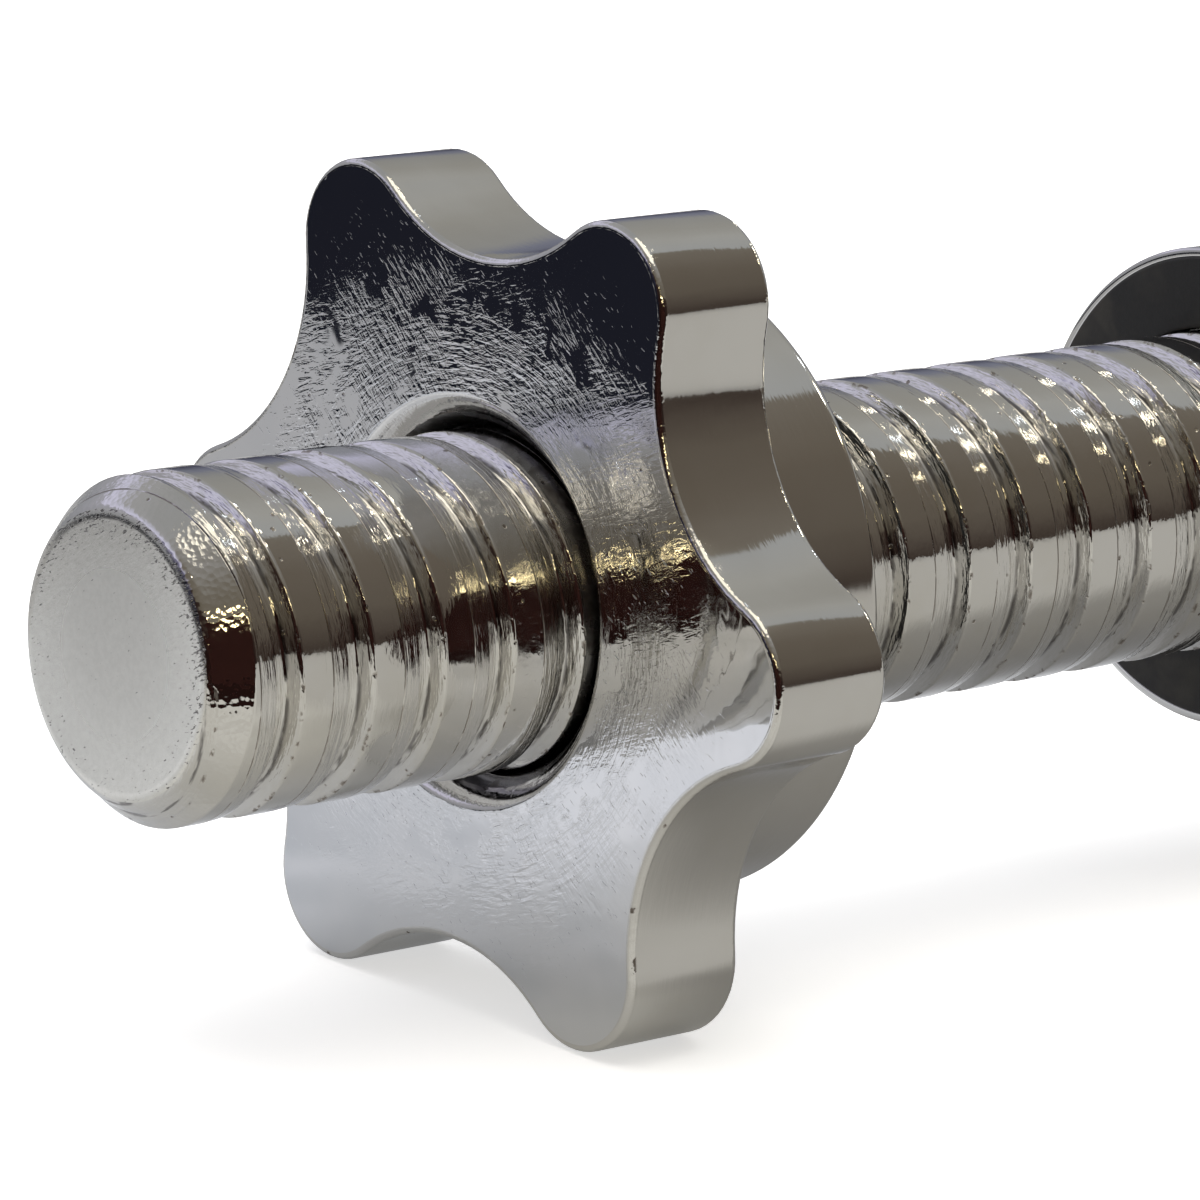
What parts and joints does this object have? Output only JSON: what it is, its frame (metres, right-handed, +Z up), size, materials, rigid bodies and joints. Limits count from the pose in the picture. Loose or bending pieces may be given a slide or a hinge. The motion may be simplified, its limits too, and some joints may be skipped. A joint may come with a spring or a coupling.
{
  "type": "adjustable dumbbell bar",
  "caption": "Chromed spin-lock dumbbell bar: coarse-threaded sleeves, knurled grip, inner collars with rubber pads and six-lobed star collars that screw along the sleeves to clamp weight plates.",
  "frame": {"origin": "centre of the bar, on its axis", "axes": "+X along the bar towards the right end, +Z up: each star collar stands on two of its lobes, and the left and right ends are told apart only by the names"},
  "size_m": [0.356, 0.0678, 0.0604],
  "materials": {
    "bar_chrome": "polished chrome plate over steel",
    "collar_chrome": "mirror chrome plate over steel",
    "star_chrome": "chrome plate with fine scratches over cast iron",
    "ring_rubber": "matt black rubber"
  },
  "bodies": {
    "bar": {"bar": "bar_chrome", "inner_collar_left": "collar_chrome", "inner_collar_right": "collar_chrome", "collar_pad_left": "ring_rubber", "collar_pad_right": "ring_rubber"},
    "ring_left": {"rubber_ring_left": "ring_rubber"},
    "star_left": {"star_collar_left": "star_chrome"},
    "ring_right": {"rubber_ring_right": "ring_rubber"},
    "star_right": {"star_collar_right": "star_chrome"}
  },
  "joints": [
    {"name": "travel_left", "type": "slide", "parent": "bar", "child": "ring_left", "axis": [1, 0, 0], "range_m": [-0.0446, 0.0562]},
    {"name": "turn_left", "type": "hinge", "parent": "ring_left", "child": "star_left", "pos_m": [-0.1369, 0, 0], "axis": [1, 0, 0], "range_deg": [-2520, 3180]},
    {"name": "travel_right", "type": "slide", "parent": "bar", "child": "ring_right", "axis": [-1, 0, 0], "range_m": [-0.0446, 0.0562]},
    {"name": "turn_right", "type": "hinge", "parent": "ring_right", "child": "star_right", "pos_m": [0.1369, 0, 0], "axis": [-1, 0, 0], "range_deg": [-2520, 3180]}
  ],
  "couplings": [
    {"joint": "travel_left", "follows": "turn_left", "m_per_rad": 0.0010106},
    {"joint": "travel_right", "follows": "turn_right", "m_per_rad": 0.0010106}
  ]
}
